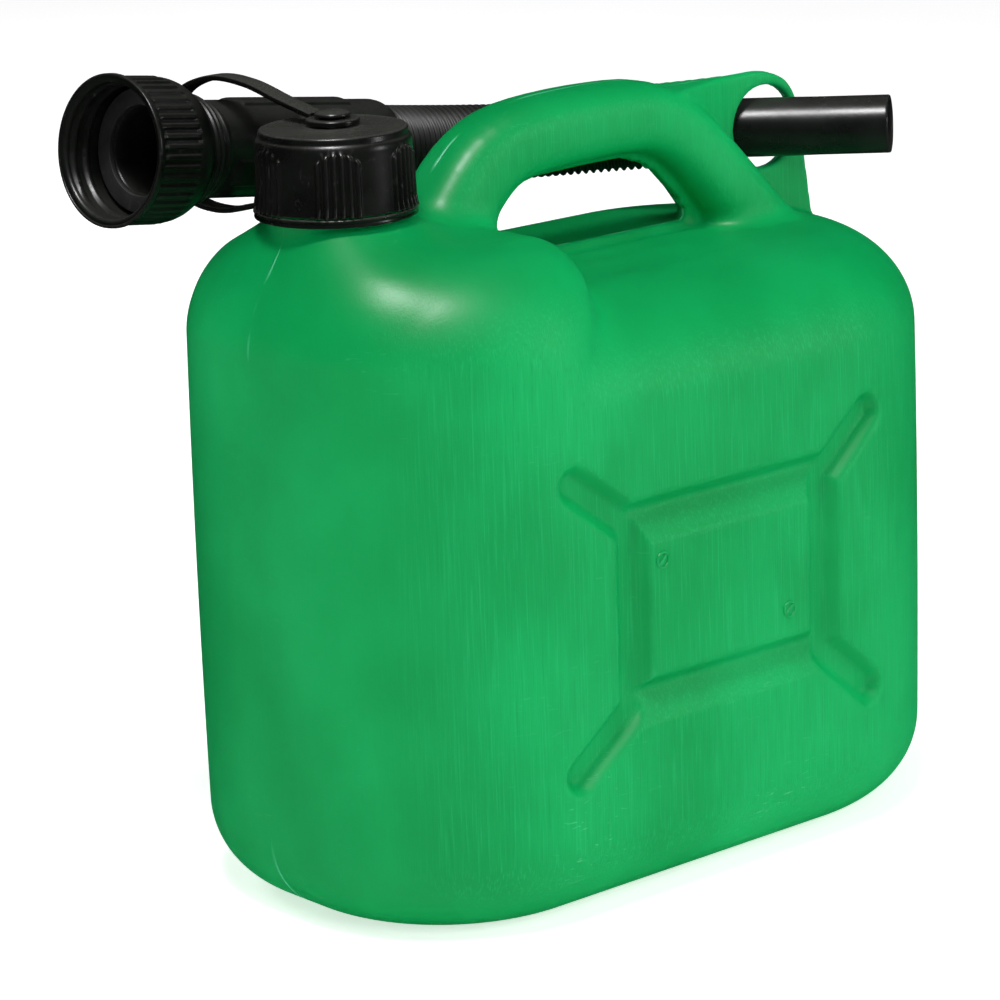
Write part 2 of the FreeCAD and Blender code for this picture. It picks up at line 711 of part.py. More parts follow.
def main():
    os.makedirs(OUT, exist_ok=True)
    doc = FreeCAD.newDocument("fuel_can")
    make_sheet(doc)
    makers = [make_can, make_cap, make_cap_seal, make_tether_ring, make_tether_eyelet]
    makers += [make_tether_strap, make_spout_nut, make_spout_seal, make_spout_tube]
    makers += [make_spout_hose, make_spout_nozzle]
    nodes = [maker(doc) for maker in makers]
    doc.recompute()
    faults = 0
    for obj in doc.Objects:
        if "Invalid" in obj.State or "Error" in obj.State:
            print("FAULT state", obj.Name, obj.State)
            faults += 1
    for node in nodes:
        shape = node.Shape
        if shape.isNull() or not shape.isValid() or not shape.Solids:
            print("FAULT shape", node.Label)
            faults += 1
            continue
        box = shape.BoundBox
        print("%-14s solids %d faces %d volume %.1f cm3  x %.1f..%.1f y %.1f..%.1f z %.1f..%.1f" % (
            node.Label, len(shape.Solids), len(shape.Faces), shape.Volume / 1000.0,
            box.XMin, box.XMax, box.YMin, box.YMax, box.ZMin, box.ZMax))
        shape.exportStep(os.path.join(OUT, node.Label + ".step"))
    space = doc.getObject("can_void").Shape
    print("brimful litres %.2f" % (space.Volume / 1e6))
    if faults:
        raise RuntimeError("%d faults" % faults)


main()
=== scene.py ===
"""Green blow-moulded fuel can with a tethered cap and a stowed flexible spout."""
import bpy
import math
import numpy as np
from mathutils import Matrix, Vector


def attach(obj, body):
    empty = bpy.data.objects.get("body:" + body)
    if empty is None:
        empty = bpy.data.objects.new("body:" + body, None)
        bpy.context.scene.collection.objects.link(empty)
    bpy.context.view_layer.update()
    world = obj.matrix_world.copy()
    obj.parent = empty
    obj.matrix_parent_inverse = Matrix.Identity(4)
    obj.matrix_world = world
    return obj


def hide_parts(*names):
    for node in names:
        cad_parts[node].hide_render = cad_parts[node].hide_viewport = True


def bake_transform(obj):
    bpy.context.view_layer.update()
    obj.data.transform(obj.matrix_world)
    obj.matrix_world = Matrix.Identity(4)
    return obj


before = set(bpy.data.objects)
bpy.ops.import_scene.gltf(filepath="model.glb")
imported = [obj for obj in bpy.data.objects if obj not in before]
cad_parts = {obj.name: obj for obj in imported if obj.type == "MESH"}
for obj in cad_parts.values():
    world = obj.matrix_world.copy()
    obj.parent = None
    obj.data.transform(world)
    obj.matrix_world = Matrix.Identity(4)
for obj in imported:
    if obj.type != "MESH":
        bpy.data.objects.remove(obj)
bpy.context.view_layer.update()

MM = 0.001

# --------------------------------------------------------------- can's form, in mm
HALF_X = 129.0
HALF_Y = 75.0
FRONT_CORNER = 66.0
REAR_CORNER = 74.5
NECK_X = -91.8
WALL = 1.8
DECK_Z = 193.0
SHOULDER_Z = 211.5
NECK_BORE_R = 17.6
HILL_BASE_Z = 188.0
THREAD_PITCH = 5.0


def length2(a, b):
    return np.sqrt(a * a + b * b)


def smin(a, b, k):
    """Smooth union."""
    h = np.clip(0.5 + 0.5 * (b - a) / k, 0.0, 1.0)
    return b + (a - b) * h - k * h * (1.0 - h)


def smax(a, b, k):
    """Smooth intersection."""
    return -smin(-a, -b, k)


def plan_distance(x, y):
    """Signed distance to the plan outline: small corners in front, large at the rear."""
    front = x < (FRONT_CORNER - REAR_CORNER) / 2
    r = np.where(front, FRONT_CORNER, REAR_CORNER)
    qx = np.abs(x) - HALF_X + r
    qy = np.abs(y) - HALF_Y + r
    return np.minimum(np.maximum(qx, qy), 0.0) + length2(np.maximum(qx, 0), np.maximum(qy, 0)) - r


def soft_edge(side, cap, a, b):
    """Side wall and end plane joined by an elliptical round, a across and b along."""
    u = np.maximum(side + a, 0.0) / a
    v = np.maximum(cap + b, 0.0) / b
    r = length2(u, v)
    grad = length2(u / a, v / b) / np.maximum(r, 1e-6)
    inside = np.maximum(side, cap)
    return np.where(r > 1e-3, (r - 1.0) / np.maximum(grad, 1e-6), inside)


def curve_points(points, steps):
    """Catmull-Rom curve through rows of numbers, its first and last rows being end tangents."""
    rows = [np.array(q, dtype=float) for q in points]
    out = []
    for i in range(1, len(rows) - 2):
        p0, p1, p2, p3 = rows[i - 1:i + 3]
        for k in range(steps):
            t = k / steps
            out.append(0.5 * (2 * p1 + (p2 - p0) * t + (2 * p0 - 5 * p1 + 4 * p2 - p3) * t ** 2
                              + (3 * p1 - p0 - 3 * p2 + p3) * t ** 3))
    out.append(rows[-2])
    return out


# Handle's middle line: X, Z, half height and half width.
HANDLE = [(-80.0, 178.0, 14.0, 15.0), (-63.0, 196.0, 13.8, 14.4), (-50.0, 211.0, 13.6, 13.6),
          (-38.5, 223.6, 13.2, 13.0), (-26.0, 230.8, 12.4, 12.8), (-8.0, 233.4, 12.1, 13.0),
          (16.0, 233.9, 11.8, 13.2), (34.0, 232.4, 11.5, 13.2), (49.0, 224.6, 11.5, 13.4),
          (64.0, 209.6, 12.2, 14.4), (80.0, 191.0, 13.4, 15.6), (94.0, 176.0, 14.0, 16.0)]


def handle_field(x, y, z):
    """Bent bar of oval section along the handle's middle line."""
    best = None
    rows = curve_points(HANDLE, 3)
    for p, q in zip(rows, rows[1:]):
        px, pz = x - p[0], z - p[1]
        bx, bz = q[0] - p[0], q[1] - p[1]
        h = np.clip((px * bx + pz * bz) / (bx * bx + bz * bz), 0.0, 1.0)
        tall = p[2] + (q[2] - p[2]) * h
        wide = p[3] + (q[3] - p[3]) * h
        off = length2(px - bx * h, pz - bz * h)
        u, v = np.abs(off / tall), np.abs(y / wide)
        r = (u ** 2.7 + v ** 2.7) ** (1 / 2.7)
        d = (r - 1.0) * (tall + (wide - tall) * np.clip(v / np.maximum(u + v, 1e-6), 0, 1))
        best = d if best is None else np.minimum(best, d)
    return best


def segment2(x, z, p, q):
    """Distance to a segment in the broad side's plane."""
    px, pz = x - p[0], z - p[1]
    bx, bz = q[0] - p[0], q[1] - p[1]
    h = np.clip((px * bx + pz * bz) / (bx * bx + bz * bz), 0.0, 1.0)
    return length2(px - bx * h, pz - bz * h)


def convex_outline(x, z, corners, rounds, inset=0.0):
    """Signed distance to a convex outline; rounds holds how softly each side meets those before it."""
    d = None
    for i, p in enumerate(corners):
        q = corners[(i + 1) % len(corners)]
        ex, ez = q[0] - p[0], q[1] - p[1]
        side = -((x - p[0]) * ez - (z - p[1]) * ex) / math.hypot(ex, ez) + inset
        d = side if d is None else smax(d, side, rounds[i])
    return d


def channel_depth(x, z):
    """How deep the pressed frame and its arms are, 0 outside them."""
    inner = 41.6
    low, high = 66.6, 124.2
    d = np.minimum(segment2(x, z, (-inner, low), (-inner, high)), segment2(x, z, (inner, low), (inner, high)))
    for sx, reach in ((-1, 64.0), (1, 61.6)):
        d = np.minimum(d, segment2(x, z, (sx * inner, high), (sx * reach, 141.0)))
        d = np.minimum(d, segment2(x, z, (sx * inner, low), (sx * reach, 49.5)))
    t = np.clip((7.8 - d) / 5.6, 0.0, 1.0)
    outside = t * t * (3 - 2 * t)
    t = np.clip((7.1 - d) / 5.0, 0.0, 1.0)
    crisp = 1.0 - (1.0 - t) ** 2
    inside = np.clip((inner - np.abs(x)) / 4.0, 0, 1) * np.clip(np.minimum(z - low, high - z) / 4.0, 0, 1)
    depth = 4.5 * (outside + (crisp - outside) * inside)
    # the level channels are steep above and slope out slowly to a crisp lower edge
    along = np.clip((inner + 4.0 - np.abs(x)) / 4.0, 0, 1)
    for lower_edge in (59.2, 117.0):
        up = z - lower_edge
        fall = np.clip((16.4 - up) / 6.0, 0.0, 1.0)
        fall = fall * fall * (3 - 2 * fall)
        depth = np.maximum(depth, 5.0 * along * np.minimum(np.clip(up / 10.5, 0.0, 1.0), fall))
    return depth


# Corners of the hand gap under the handle, and of the pierced tab with the rounding of each side: X, Z.
HAND_GAP = [(-37.0, 193.9), (-22.0, 221.6), (31.0, 222.6), (44.5, 208.0), (44.5, 193.9)]
TAB = [(93.0, 176.0), (37.0, 236.0), (46.0, 240.4), (93.0, 240.6), (104.0, 233.5), (108.2, 213.0),
       (113.4, 176.0)]
TAB_ROUNDS = [1.2, 1.2, 1.2, 5.0, 5.0, 1.2, 1.2]


def tank_field(x, y, z):
    """Can without its tab: tank, front shoulder, neck's hill, handle, web under it and pressed channels."""
    side = plan_distance(x, y)
    side = side + 0.9 * (np.clip(np.abs(z - 96.0) / 96.0, 0, 1) ** 2)
    low = soft_edge(side, -z, 27.0, 27.0)
    block = smax(z - SHOULDER_Z, x + 35.0, 20.0)
    top = smin(z - DECK_Z, block, 6.0)
    tank = np.maximum(low, soft_edge(side, top, 36.0, 32.0))
    reach = length2(x - NECK_X, y)
    hill = (z - 219.0) * 0.82 + (reach - 21.0) * 0.57
    hill = smax(hill, reach - 46.0, 8.0)
    hill = smax(hill, HILL_BASE_Z - z, 4.0)
    hill = smax(hill, z - 219.2, 2.0)
    hill = smax(hill, (side + 6.7 + 0.48 * (z - 196.6)) * 0.9, 6.0)
    hill = smax(hill, side + 6.5, 3.0)
    body = np.maximum(smin(tank, hill, 9.0), side)
    body = smin(body, handle_field(x, y, z), 7.0)
    gap_round = 8.0
    gap = convex_outline(x, z, HAND_GAP, [gap_round] * len(HAND_GAP), gap_round) - gap_round * 0.75
    web = np.maximum(np.abs(y) - 2.0, -gap)
    beyond = length2(np.maximum(np.abs(x - 16.0) - 46.0, 0), np.maximum(np.abs(z - 205.0) - 17.0, 0))
    web = np.maximum(web, beyond)
    body = smin(body, web, 2.2)
    dip = channel_depth(x, z)
    return body + dip * np.clip((np.abs(y) - 45.0) / 20.0, 0, 1)


def tab_field(x, y, z):
    """Pierced tab behind the handle."""
    d = convex_outline(x, z, TAB, TAB_ROUNDS)
    half = 2.05 + 7.5 * np.clip((74.0 - x) / 26.0, 0.0, 1.0) ** 1.3
    plate = smax(np.abs(y) - half, d, 1.6)
    hole = length2(x - 89.6, (z - 221.8) * 1.03) - 14.1
    return smax(plate, -hole, 1.4)


def outer_field(x, y, z):
    """The moulding's outside, with the neck's bore as a pocket."""
    solid = smin(tank_field(x, y, z), tab_field(x, y, z), 2.4)
    reach = length2(x - NECK_X, y)
    neck = np.maximum(np.maximum(reach - 20.6, z - 222.5), 196.0 - z)
    solid = smin(solid, neck, 1.6)
    return np.maximum(solid, -np.maximum(reach - NECK_BORE_R, 190.0 - z))


def inner_field(x, y, z):
    """The hollow inside, the wall's thickness in from the outside."""
    return tank_field(x, y, z) + WALL


# --------------------------------------------------------------- mesh helpers
def new_mesh(name, verts, faces):
    """Mesh object from millimetre points and an array of quads."""
    verts = np.asarray(verts, dtype=np.float64) * MM
    faces = np.asarray(faces, dtype=np.int32)
    mesh = bpy.data.meshes.new(name)
    mesh.vertices.add(len(verts))
    mesh.vertices.foreach_set("co", verts.ravel())
    count, width = faces.shape
    mesh.loops.add(count * width)
    mesh.loops.foreach_set("vertex_index", faces.ravel())
    mesh.polygons.add(count)
    mesh.polygons.foreach_set("loop_start", np.arange(0, count * width, width, dtype=np.int32))
    mesh.update(calc_edges=True)
    mesh.validate()
    mesh.shade_smooth()
    obj = bpy.data.objects.new(name, mesh)
    bpy.context.scene.collection.objects.link(obj)
    return obj


def surface_nets(field, low, high, step):
    """Quads on the zero surface of a field sampled on a regular grid."""
    axes = [np.arange(low[i], high[i] + step, step) for i in range(3)]
    value = np.empty([len(a) for a in axes], dtype=np.float32)
    yy, zz = np.meshgrid(axes[1], axes[2], indexing="ij")
    slab = 24  # layers worked out at a time, to keep memory low
    for i in range(0, len(axes[0]), slab):
        part = axes[0][i:i + slab]
        xx = part[:, None, None] + np.zeros((1,) + yy.shape)
        value[i:i + slab] = field(xx, yy[None] + 0 * xx, zz[None] + 0 * xx)
    inside = value < 0
    cells = tuple(n - 1 for n in value.shape)
    total = np.zeros(cells, dtype=np.int8)
    for dx in (0, 1):
        for dy in (0, 1):
            for dz in (0, 1):
                total += inside[dx:dx + cells[0], dy:dy + cells[1], dz:dz + cells[2]]
    active = (total > 0) & (total < 8)
    index = np.full(cells, -1, dtype=np.int32)
    where = np.argwhere(active)
    index[active] = np.arange(len(where))
    points = np.zeros((len(where), 3))
    hits = np.zeros(len(where))
    corners = [(dx, dy, dz) for dx in (0, 1) for dy in (0, 1) for dz in (0, 1)]
    for a in range(8):
        for b in range(a + 1, 8):
            ca, cb = np.array(corners[a]), np.array(corners[b])
            if np.abs(ca - cb).sum() != 1:
                continue
            pa, pb = where + ca, where + cb
            va = value[pa[:, 0], pa[:, 1], pa[:, 2]]
            vb = value[pb[:, 0], pb[:, 1], pb[:, 2]]
            cross = (va < 0) != (vb < 0)
            t = np.where(cross, va / np.where(cross, va - vb, 1), 0)
            points[cross] += (ca + (cb - ca) * t[:, None])[cross]
            hits[cross] += 1
    points = (where + points / hits[:, None]) * step + np.array([a[0] for a in axes])
    quads = []
    for axis in range(3):
        u, v = (axis + 1) % 3, (axis + 2) % 3
        lead = [slice(1, -1)] * 3
        lead[axis] = slice(0, -1)
        nxt = list(lead)
        nxt[axis] = slice(1, None)
        first = inside[tuple(lead)]
        second = inside[tuple(nxt)]
        edges = np.argwhere(first != second)
        flip = first[tuple(edges.T)]
        base = edges.copy()
        base[:, u] += 1
        base[:, v] += 1
        ring = []
        for du, dv in ((-1, -1), (0, -1), (0, 0), (-1, 0)):
            cell = base.copy()
            cell[:, u] += du
            cell[:, v] += dv
            ring.append(index[tuple(cell.T)])
        ring = np.array(ring).T
        ring = np.where(flip[:, None], ring, ring[:, ::-1])
        quads.append(ring)
    quads = np.concatenate(quads)
    return points, quads[(quads >= 0).all(axis=1)]


def settle(field, points):
    """Moves points onto the zero surface, by at most half a millimetre a round."""
    h = 0.05
    for _ in range(3):
        x, y, z = points.T
        f = field(x, y, z)
        g = np.stack([
            field(x + h, y, z) - field(x - h, y, z),
            field(x, y + h, z) - field(x, y - h, z),
            field(x, y, z + h) - field(x, y, z - h)], axis=1) / (2 * h)
        size = np.maximum((g * g).sum(axis=1), 0.15)
        move = g * (f / size)[:, None]
        reach = np.linalg.norm(move, axis=1)
        move *= np.minimum(1.0, 0.5 / np.maximum(reach, 1e-9))[:, None]
        points = points - move
    return points


def ring_faces(rows, count, closed):
    """Quads between neighbouring rings of count points; closed joins the last ring to the first."""
    here = np.arange(count)
    there = (here + 1) % count
    faces = []
    for i in range(rows if closed else rows - 1):
        low, high = i * count, (i + 1) % rows * count
        faces.append(np.stack([low + here, low + there, high + there, high + here], axis=1))
    return np.concatenate(faces)


def turned(name, rows, count, shape=None, place=None):
    """Turned piece: closed profile of (r, z, tag) round the Z axis, r changed by shape(r, z, tag, angle)."""
    angle = np.arange(count) * 2 * math.pi / count
    verts = []
    for r, z, tag in rows:
        rr = np.full(count, float(r))
        zz = np.full(count, float(z))
        if shape:
            rr, zz = shape(rr, zz, tag, angle)
        verts.append(np.stack([rr * np.cos(angle), rr * np.sin(angle), zz], axis=1))
    verts = np.concatenate(verts)
    if place is not None:
        verts = verts @ np.array(place.to_3x3()).T + np.array(place.translation)
    return new_mesh(name, verts, ring_faces(len(rows), count, closed=True))


def lined(points, spacing):
    """Profile with extra rows along its straight runs."""
    rows = []
    for a, b in zip(points[:-1], points[1:]):
        steps = max(1, int(math.hypot(b[0] - a[0], b[1] - a[1]) / spacing))
        for s in range(steps):
            t = s / steps
            rows.append((a[0] + (b[0] - a[0]) * t, a[1] + (b[1] - a[1]) * t, a[2]))
    rows.append(points[-1])
    return rows


def arc(cx, cz, r, start, end, count, tag=""):
    """Rows along an arc of the profile, angles in degrees."""
    rows = []
    for i in range(count + 1):
        a = math.radians(start + (end - start) * i / count)
        rows.append((cx + r * math.cos(a), cz + r * math.sin(a), tag))
    return rows


def bead(z, angle, pitch, z_start, turns, height, half, phase=0.0):
    """Height of a rounded helical thread at (z, angle)."""
    out = np.zeros_like(z)
    for k in range(-1, int(turns) + 2):
        run = (angle + phase) / (2 * math.pi) + k
        centre = z_start + pitch * run
        d = np.abs(z - centre) / half
        lift = height * np.clip(1 - d * d, 0, None) ** 0.5
        ends = np.clip(np.minimum(run, turns - run) * 10.0, 0, 1)
        out = np.maximum(out, lift * ends)
    return out


def direction(heading, rise):
    """Unit vector from degrees round from +X and degrees up."""
    h, p = math.radians(heading), math.radians(rise)
    return Vector((math.cos(p) * math.cos(h), math.cos(p) * math.sin(h), math.sin(p)))


def frame_along(start, axis):
    """Matrix whose Z runs along axis and whose Y points upward as far as it can."""
    side = Vector((0, 0, 1)).cross(axis).normalized()
    up = axis.cross(side)
    return Matrix(((side.x, up.x, axis.x, start.x), (side.y, up.y, axis.y, start.y),
                   (side.z, up.z, axis.z, start.z), (0, 0, 0, 1)))


def swept(name, path, outer_at, inner_at, count):
    """Hollow tube along points, with an outer and an inner radius for each."""
    path = np.asarray(path, dtype=float)
    tangent = np.gradient(path, axis=0)
    tangent /= np.linalg.norm(tangent, axis=1)[:, None]
    up = np.array([0.0, 0.0, 1.0])
    up -= tangent[0] * up.dot(tangent[0])
    up /= np.linalg.norm(up)
    ups = [up]
    for t in tangent[1:]:
        u = ups[-1] - t * ups[-1].dot(t)
        ups.append(u / np.linalg.norm(u))
    ups = np.array(ups)
    side = np.cross(tangent, ups)
    angle = np.arange(count) * 2 * math.pi / count
    ring = ups[:, None, :] * np.cos(angle)[None, :, None] + side[:, None, :] * np.sin(angle)[None, :, None]
    outer = path[:, None, :] + ring * np.asarray(outer_at)[:, None, None]
    inner = path[:, None, :] + ring * np.asarray(inner_at)[:, None, None]
    verts = np.concatenate([outer, inner[::-1]]).reshape(-1, 3)
    faces = ring_faces(len(verts) // count, count, closed=True)
    return new_mesh(name, verts, faces[:, [0, 3, 2, 1]])


# --------------------------------------------------------------- materials
def node_material(name):
    """Empty node material with one shader on its output."""
    mat = bpy.data.materials.new(name)
    mat.use_nodes = True
    tree = mat.node_tree
    tree.nodes.clear()
    out = tree.nodes.new("ShaderNodeOutputMaterial")
    shader = tree.nodes.new("ShaderNodeBsdfPrincipled")
    tree.links.new(shader.outputs["BSDF"], out.inputs["Surface"])
    return mat, tree, shader


class Graph:
    """Short names for the nodes used here."""

    def __init__(self, tree):
        self.tree = tree
        self.coord = tree.nodes.new("ShaderNodeTexCoord").outputs["Object"]

    def link(self, a, b):
        self.tree.links.new(a, b)

    def fill(self, socket, value):
        if isinstance(value, (int, float, tuple, list)):
            socket.default_value = value
        else:
            self.link(value, socket)

    def math(self, op, a, b=0.0, clamp=False):
        node = self.tree.nodes.new("ShaderNodeMath")
        node.operation = op
        node.use_clamp = clamp
        self.fill(node.inputs[0], a)
        self.fill(node.inputs[1], b)
        return node.outputs[0]

    def scaled(self, scale):
        node = self.tree.nodes.new("ShaderNodeMapping")
        node.inputs["Scale"].default_value = scale
        self.link(self.coord, node.inputs["Vector"])
        return node.outputs["Vector"]

    def noise(self, vector, scale, detail=3.0, rough=0.55, distort=0.0):
        node = self.tree.nodes.new("ShaderNodeTexNoise")
        self.link(vector, node.inputs["Vector"])
        node.inputs["Scale"].default_value = scale
        node.inputs["Detail"].default_value = detail
        node.inputs["Roughness"].default_value = rough
        node.inputs["Distortion"].default_value = distort
        return node.outputs["Fac"]

    def span(self, value, low, high, to_low=0.0, to_high=1.0):
        node = self.tree.nodes.new("ShaderNodeMapRange")
        node.interpolation_type = "SMOOTHSTEP"
        self.fill(node.inputs["Value"], value)
        node.inputs["From Min"].default_value = low
        node.inputs["From Max"].default_value = high
        node.inputs["To Min"].default_value = to_low
        node.inputs["To Max"].default_value = to_high
        return node.outputs["Result"]

    def split(self, vector=None):
        node = self.tree.nodes.new("ShaderNodeSeparateXYZ")
        self.link(vector or self.coord, node.inputs[0])
        return node.outputs[0], node.outputs[1], node.outputs[2]

    def normal(self):
        node = self.tree.nodes.new("ShaderNodeNewGeometry")
        return self.split(node.outputs["Normal"])

    def pointiness(self):
        node = self.tree.nodes.new("ShaderNodeNewGeometry")
        return node.outputs["Pointiness"]

    def blend(self, fac, a, b):
        node = self.tree.nodes.new("ShaderNodeMix")
        node.data_type = "RGBA"
        self.fill(node.inputs["Factor"], fac)
        self.fill(node.inputs[6], a)
        self.fill(node.inputs[7], b)
        return node.outputs[2]

    def bump(self, height, strength, distance, under=None):
        node = self.tree.nodes.new("ShaderNodeBump")
        node.inputs["Strength"].default_value = strength
        node.inputs["Distance"].default_value = distance
        self.link(height, node.inputs["Height"])
        if under is not None:
            self.link(under, node.inputs["Normal"])
        return node.outputs["Normal"]


def green_plastic():
    """Blow-moulded polyethylene: die streaks, fine grain, parting line and light handling wear."""
    mat, tree, shader = node_material("green_polyethylene")
    g = Graph(tree)
    _, y, z = g.split()
    _, ny, nz = g.normal()
    cloud = g.noise(g.scaled((1, 1, 1)), 11.0, 3.0)
    broad = g.noise(g.scaled((1.0, 1.0, 0.5)), 32.0, 2.0)
    streak = g.noise(g.scaled((1.0, 1.0, 0.022)), 1700.0, 4.0, 0.62)
    thin = g.noise(g.scaled((1.0, 1.0, 0.012)), 3000.0, 2.0, 0.6)
    grain = g.noise(g.scaled((1, 1, 1)), 1500.0, 3.0, 0.6)
    coarse = g.noise(g.scaled((1, 1, 1)), 420.0, 2.0, 0.5)
    flat = g.span(g.math("ABSOLUTE", ny), 0.45, 0.95)
    wall = g.math("SUBTRACT", 1.0, g.span(g.math("ABSOLUTE", nz), 0.35, 0.85))
    upright = g.math("MULTIPLY", wall, g.span(flat, 0.0, 1.0, 0.12, 1.0))

    deep = (0.0, 0.262, 0.060, 1.0)
    light = (0.0004, 0.340, 0.086, 1.0)
    colour = g.blend(g.span(cloud, 0.34, 0.66), deep, light)
    colour = g.blend(g.span(broad, 0.4, 0.75, 0.0, 0.25), colour, (0.002, 0.375, 0.105, 1.0))
    mark = g.math("MULTIPLY", g.span(streak, 0.48, 0.72), upright)
    colour = g.blend(g.math("MULTIPLY", mark, 0.42), colour, (0.012, 0.42, 0.135, 1.0))
    dark = g.math("MULTIPLY", g.span(thin, 0.56, 0.70), upright)
    colour = g.blend(g.math("MULTIPLY", dark, 0.38), colour, (0.0, 0.20, 0.055, 1.0))

    # parting line round the middle plane
    off = g.math("ABSOLUTE", y)
    wave = g.noise(g.scaled((1, 1, 1)), 60.0, 2.0)
    width = g.span(wave, 0.3, 0.7, 0.0004, 0.0009)
    line = g.math("SUBTRACT", 1.0, g.span(g.math("DIVIDE", off, width), 0.2, 1.0))
    breaks = g.span(g.noise(g.scaled((1, 1, 1)), 34.0, 2.0), 0.40, 0.56)
    high = g.span(z, 0.165, 0.192)
    low = g.span(z, 0.030, 0.006)
    line = g.math("MULTIPLY", line, g.math("MAXIMUM", g.math("MULTIPLY", breaks, high), low))
    colour = g.blend(g.math("MULTIPLY", line, 0.80), colour, (0.11, 0.62, 0.34, 1.0))

    # rubbed edges and small scratches
    edge = g.span(g.pointiness(), 0.515, 0.58)
    rub = g.math("MULTIPLY", edge, g.span(g.noise(g.scaled((1, 1, 1)), 90.0, 4.0, 0.7), 0.42, 0.65))
    colour = g.blend(g.math("MULTIPLY", rub, 0.32), colour, (0.05, 0.50, 0.22, 1.0))
    nick = g.noise(g.scaled((1.0, 1.0, 6.0)), 170.0, 2.0, 0.4, 1.4)
    foot = g.span(z, 0.060, 0.004, 0.0, 1.0)
    area = g.span(g.noise(g.scaled((1, 1, 1)), 24.0, 2.0), 0.46, 0.66)
    scuff = g.math("MULTIPLY", g.span(nick, 0.66, 0.74), g.math("ADD", g.math("MULTIPLY", foot, 0.7), 0.12))
    scuff = g.math("MULTIPLY", scuff, area)
    colour = g.blend(g.math("MULTIPLY", scuff, 0.6), colour, (0.14, 0.58, 0.33, 1.0))
    g.link(colour, shader.inputs["Base Color"])

    rough = g.span(cloud, 0.3, 0.7, 0.34, 0.41)
    rough = g.math("ADD", rough, g.math("MULTIPLY", flat, 0.06))
    rough = g.math("ADD", rough, g.math("MULTIPLY", grain, 0.06))
    rough = g.math("ADD", rough, g.math("MULTIPLY", scuff, 0.2), True)
    g.link(rough, shader.inputs["Roughness"])

    height = g.math("MULTIPLY", streak, g.math("MULTIPLY", upright, 0.8))
    height = g.math("ADD", height, g.math("MULTIPLY", thin, g.math("MULTIPLY", upright, 0.5)))
    soft = g.bump(height, 0.45, 0.00030)
    skin = g.math("ADD", g.math("MULTIPLY", grain, 0.55), g.math("MULTIPLY", coarse, 0.45))
    soft = g.bump(skin, 0.28, 0.00020, soft)
    soft = g.bump(line, 0.9, 0.00045, soft)
    g.link(soft, shader.inputs["Normal"])
    shader.inputs["Specular IOR Level"].default_value = 0.16
    shader.inputs["IOR"].default_value = 1.51
    shader.inputs["Subsurface Weight"].default_value = 0.12
    shader.inputs["Subsurface Radius"].default_value = (0.3, 1.0, 0.5)
    shader.inputs["Subsurface Scale"].default_value = 0.0025
    return mat


def black_plastic(name, base, rough_low, rough_high, grain_size=900.0, dust=0.10, top_sheen_and_dust=0.4):
    """Injection-moulded black plastic with a faint grain, dust spots, painted shade in the hollows, a painted
    sheen (partly dust) on upward faces and rubbed edges.
    """
    mat, tree, shader = node_material(name)
    g = Graph(tree)
    cloud = g.noise(g.scaled((1, 1, 1)), 45.0, 3.0)
    grain = g.noise(g.scaled((1, 1, 1)), grain_size, 3.0, 0.6)
    marks = g.noise(g.scaled((1.0, 5.0, 1.0)), 150.0, 2.0, 0.5, 1.2)
    spots = g.span(g.noise(g.scaled((1, 1, 1)), 260.0, 4.0, 0.7), 0.60, 0.78)
    dark = tuple(c * 0.72 for c in base) + (1.0,)
    pale = tuple(c * 1.35 for c in base) + (1.0,)
    colour = g.blend(g.span(cloud, 0.35, 0.65), dark, pale)
    edge = g.span(g.pointiness(), 0.52, 0.62)
    colour = g.blend(g.math("MULTIPLY", edge, 0.35), colour, (0.055, 0.058, 0.052, 1.0))
    # painted shade: concave places, where shade falls, are darkened towards near black
    hollow = g.span(g.pointiness(), 0.49, 0.42)
    colour = g.blend(g.math("MULTIPLY", hollow, 0.4), colour, (0.006, 0.007, 0.006, 1.0))
    colour = g.blend(g.math("MULTIPLY", spots, dust), colour, (0.12, 0.125, 0.115, 1.0))
    # painted sheen, partly dust: faces turned upward are lightened towards pale grey, strongest on the cap
    facing_up = g.span(g.normal()[2], 0.35, 0.98)
    top_sheen_and_dust_mask = g.math("MULTIPLY", facing_up, g.span(grain, 0.2, 0.8, top_sheen_and_dust * 0.7, top_sheen_and_dust))
    colour = g.blend(top_sheen_and_dust_mask, colour, (0.060, 0.062, 0.055, 1.0))
    scratch = g.span(marks, 0.68, 0.74)
    colour = g.blend(g.math("MULTIPLY", scratch, 0.10), colour, (0.12, 0.12, 0.12, 1.0))
    g.link(colour, shader.inputs["Base Color"])
    rough = g.span(cloud, 0.3, 0.7, rough_low, rough_high)
    rough = g.math("ADD", rough, g.math("MULTIPLY", spots, 0.15))
    rough = g.math("ADD", rough, g.math("MULTIPLY", scratch, 0.12), True)
    g.link(rough, shader.inputs["Roughness"])
    soft = g.bump(grain, 0.22, 0.00012)
    soft = g.bump(cloud, 0.15, 0.0004, soft)
    g.link(soft, shader.inputs["Normal"])
    shader.inputs["IOR"].default_value = 1.5
    shader.inputs["Specular IOR Level"].default_value = 0.24
    return mat


